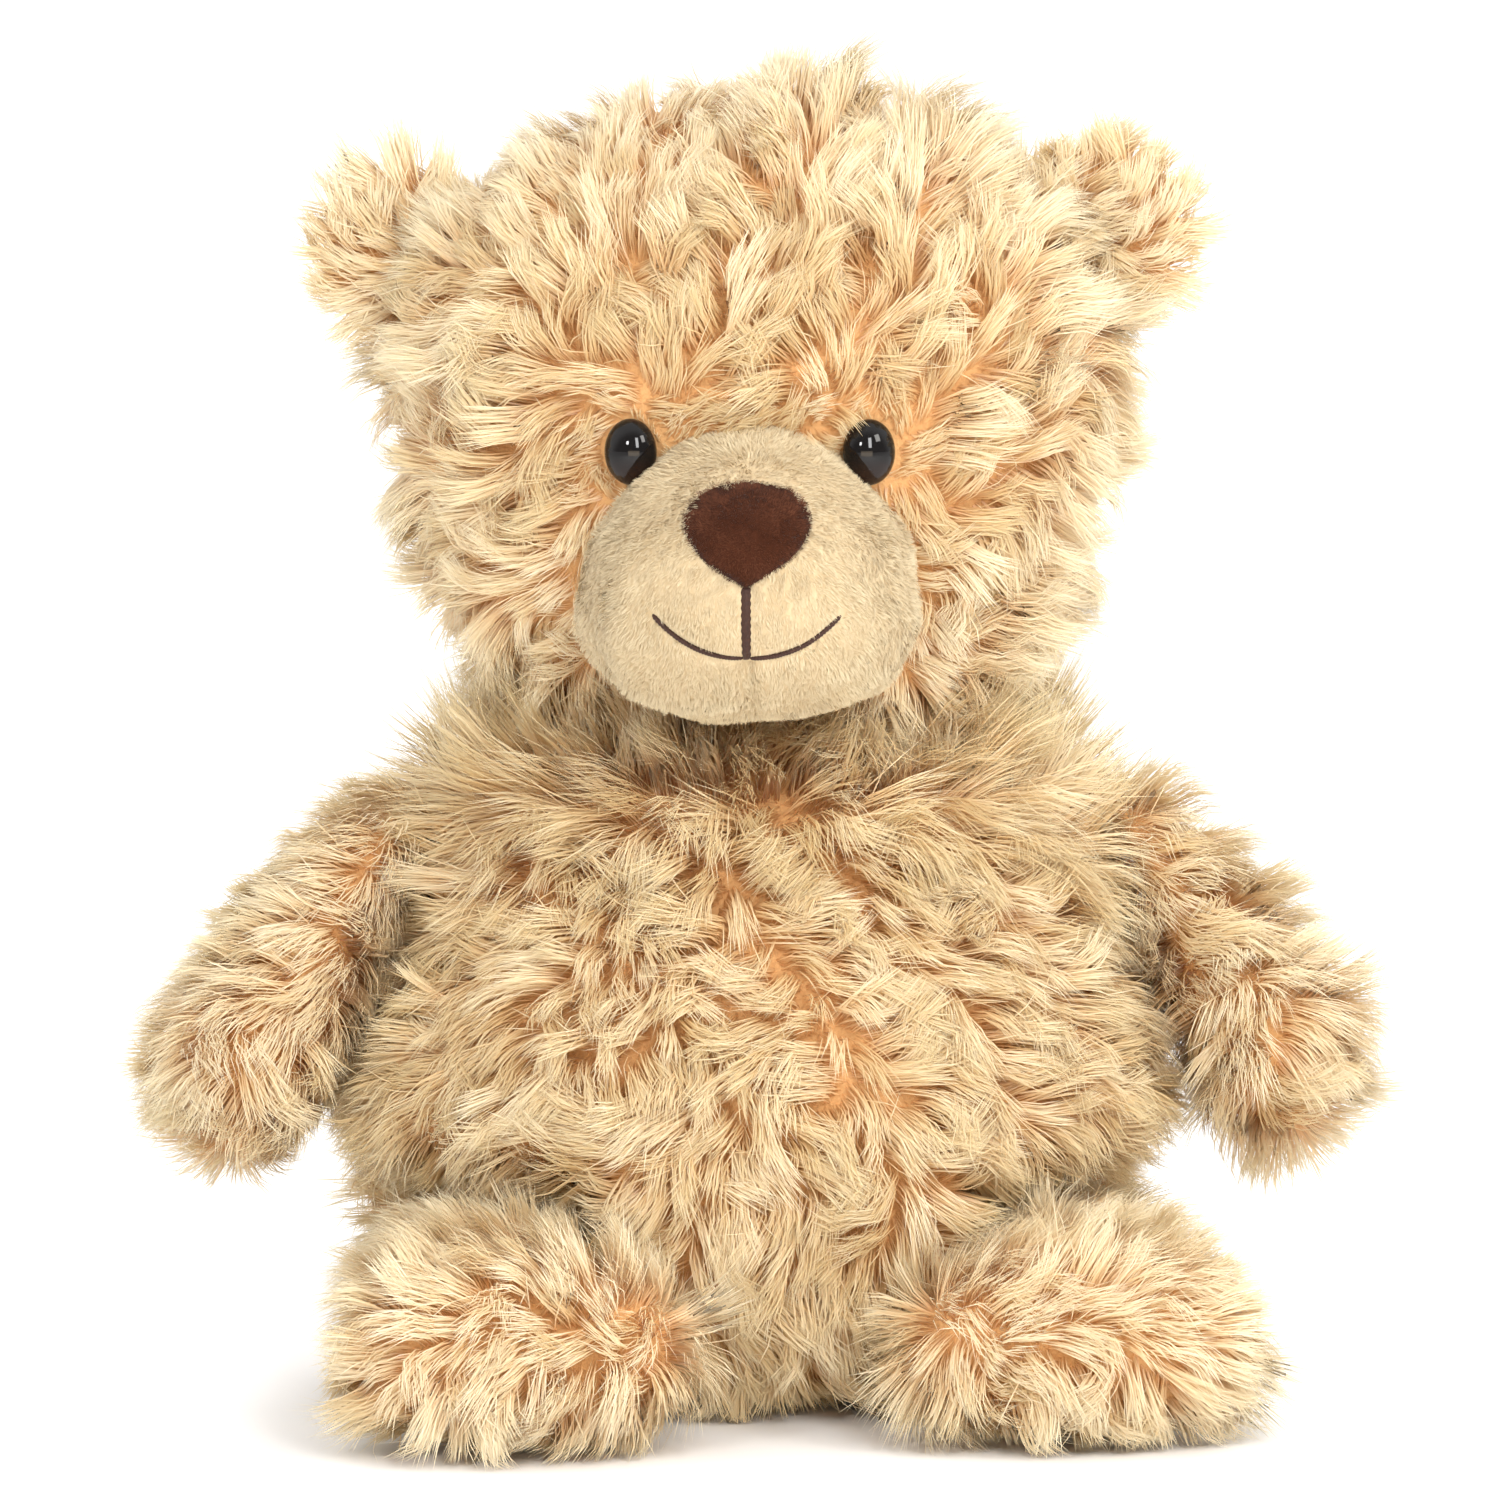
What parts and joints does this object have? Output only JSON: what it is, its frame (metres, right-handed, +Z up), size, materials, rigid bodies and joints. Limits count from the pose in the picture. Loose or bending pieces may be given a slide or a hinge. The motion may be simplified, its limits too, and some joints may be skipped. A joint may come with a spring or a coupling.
{
  "type": "jointed teddy bear",
  "caption": "Seated plush teddy bear in long curly cream fur, with a velour muzzle, domed eyes, and a head, arms and legs that turn on disc joints.",
  "frame": {"origin": "on the flat underside of the body's base, on the floor, straight under the neck", "axes": "+Z up along the sitting height; the face and belly look along -Y; +X is the bear's own left"},
  "size_m": [0.2746, 0.1993, 0.2995],
  "materials": {
    "fur_plush": "matte",
    "muzzle_velour": "matte",
    "stuffing": "matte",
    "joint_plastic": "satin",
    "eye_gloss": "gloss",
    "nose_flock": "matte",
    "mouth_thread": "satin"
  },
  "bodies": {
    "torso": {"body_front_left": "fur_plush", "body_front_right": "fur_plush", "body_back_left": "fur_plush", "body_back_right": "fur_plush", "body_base": "fur_plush", "body_stuffing": "stuffing", "neck_washer": "joint_plastic", "shoulder_left_washer": "joint_plastic", "shoulder_right_washer": "joint_plastic", "hip_left_washer": "joint_plastic", "hip_right_washer": "joint_plastic"},
    "head": {"head_gusset": "fur_plush", "head_side_left": "fur_plush", "head_side_right": "fur_plush", "head_stuffing": "stuffing", "muzzle_left": "muzzle_velour", "muzzle_right": "muzzle_velour", "eye_left": "eye_gloss", "eye_right": "eye_gloss", "eye_washer_left": "joint_plastic", "eye_washer_right": "joint_plastic", "nose": "nose_flock", "nose_washer": "joint_plastic", "mouth_stitch_middle": "mouth_thread", "mouth_stitch_left": "mouth_thread", "mouth_stitch_right": "mouth_thread", "ear_front_left": "fur_plush", "ear_front_right": "fur_plush", "ear_back_left": "fur_plush", "ear_back_right": "fur_plush", "neck_disc": "joint_plastic", "neck_lock_ring": "joint_plastic"},
    "arm_left": {"arm_outer_left": "fur_plush", "arm_inner_left": "fur_plush", "arm_stuffing_left": "stuffing", "shoulder_left_disc": "joint_plastic", "shoulder_left_lock_ring": "joint_plastic"},
    "arm_right": {"arm_outer_right": "fur_plush", "arm_inner_right": "fur_plush", "arm_stuffing_right": "stuffing", "shoulder_right_disc": "joint_plastic", "shoulder_right_lock_ring": "joint_plastic"},
    "leg_left": {"leg_outer_left": "fur_plush", "leg_inner_left": "fur_plush", "leg_stuffing_left": "stuffing", "hip_left_disc": "joint_plastic", "hip_left_lock_ring": "joint_plastic"},
    "leg_right": {"leg_outer_right": "fur_plush", "leg_inner_right": "fur_plush", "leg_stuffing_right": "stuffing", "hip_right_disc": "joint_plastic", "hip_right_lock_ring": "joint_plastic"}
  },
  "joints": [
    {"name": "neck", "type": "hinge", "parent": "torso", "child": "head", "pos_m": [0, 0, 0.1529], "axis": [0, 0, 1], "continuous": true},
    {"name": "shoulder_left", "type": "hinge", "parent": "torso", "child": "arm_left", "pos_m": [0.08033, -0.001, 0.112], "axis": [-0.9135, 0, -0.4067], "range_deg": [-75, 105]},
    {"name": "shoulder_right", "type": "hinge", "parent": "torso", "child": "arm_right", "pos_m": [-0.08033, -0.001, 0.112], "axis": [-0.9135, 0, 0.4067], "range_deg": [-75, 105]},
    {"name": "hip_left", "type": "hinge", "parent": "torso", "child": "leg_left", "pos_m": [0.044, -0.02, 0.026], "axis": [1, 0, 0], "range_deg": [0, 95]},
    {"name": "hip_right", "type": "hinge", "parent": "torso", "child": "leg_right", "pos_m": [-0.044, -0.02, 0.026], "axis": [1, 0, 0], "range_deg": [0, 95]}
  ]
}
